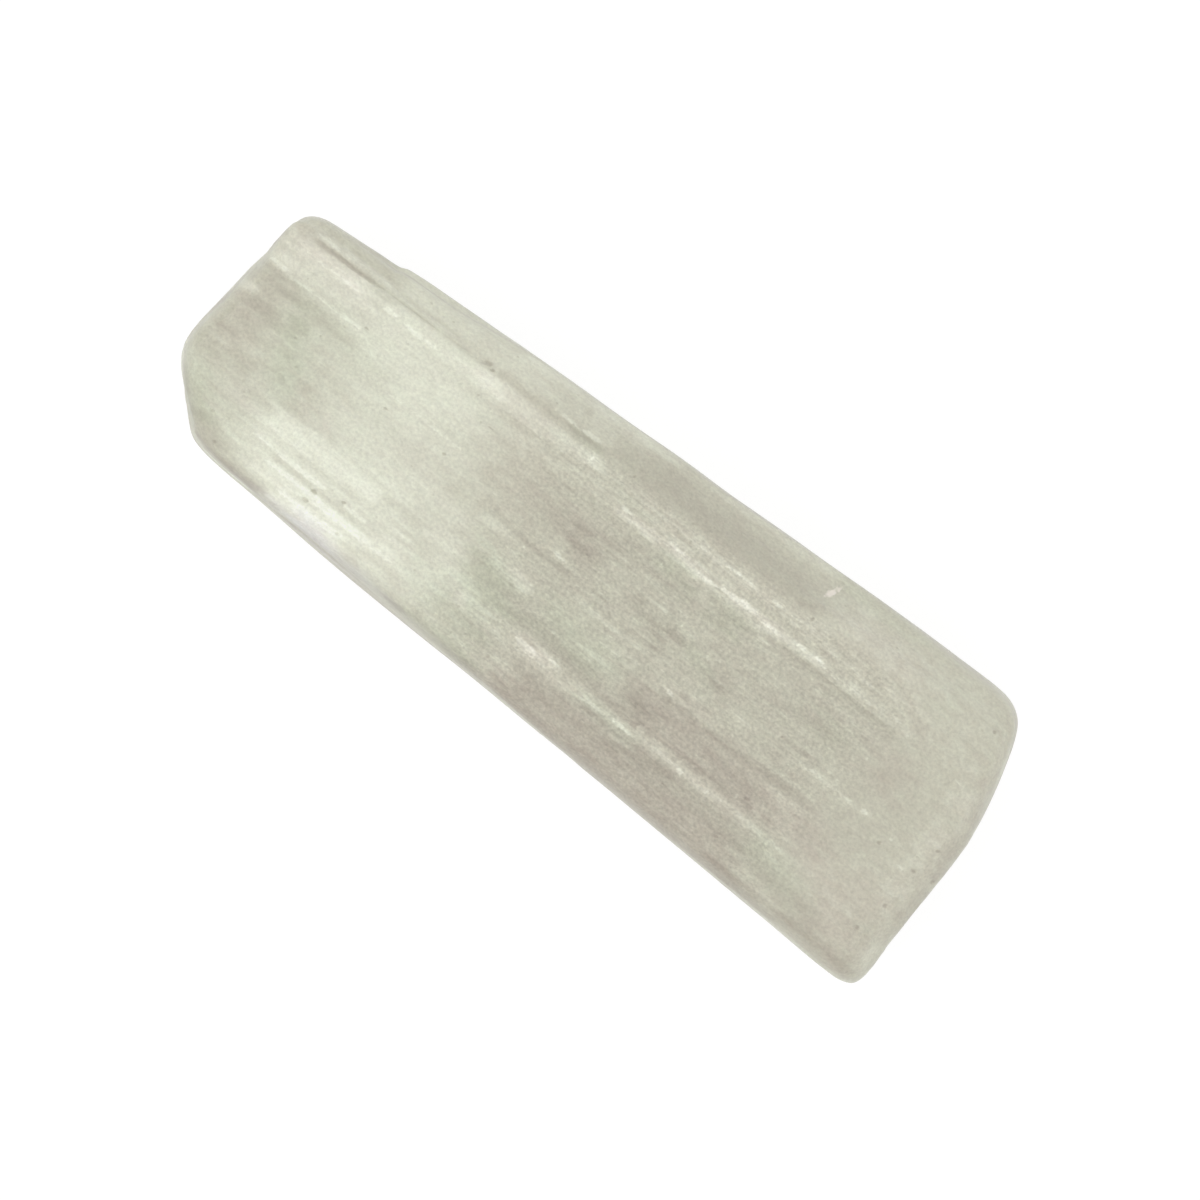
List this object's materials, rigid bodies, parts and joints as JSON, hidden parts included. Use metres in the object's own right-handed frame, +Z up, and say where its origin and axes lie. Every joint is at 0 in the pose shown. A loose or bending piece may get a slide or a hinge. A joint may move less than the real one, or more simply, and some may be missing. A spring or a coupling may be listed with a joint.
{
  "type": "tumbled selenite wand",
  "caption": "Short, thick tumbled stick of milky satin spar selenite with soft cleavage facets and splinter ledges, lying on its flat underside as a display or hand stone.",
  "frame": {"origin": "below the middle of the wand's box, on the surface that it rests on", "axes": "+X along the fibres from the narrow end to the wide end, +Y towards the bevelled long side, +Z up out of the top face"},
  "size_m": [0.075, 0.0266, 0.0154],
  "materials": {
    "selenite": "satin"
  },
  "bodies": {
    "root": {"selenite_wand": "selenite"}
  },
  "joints": []
}
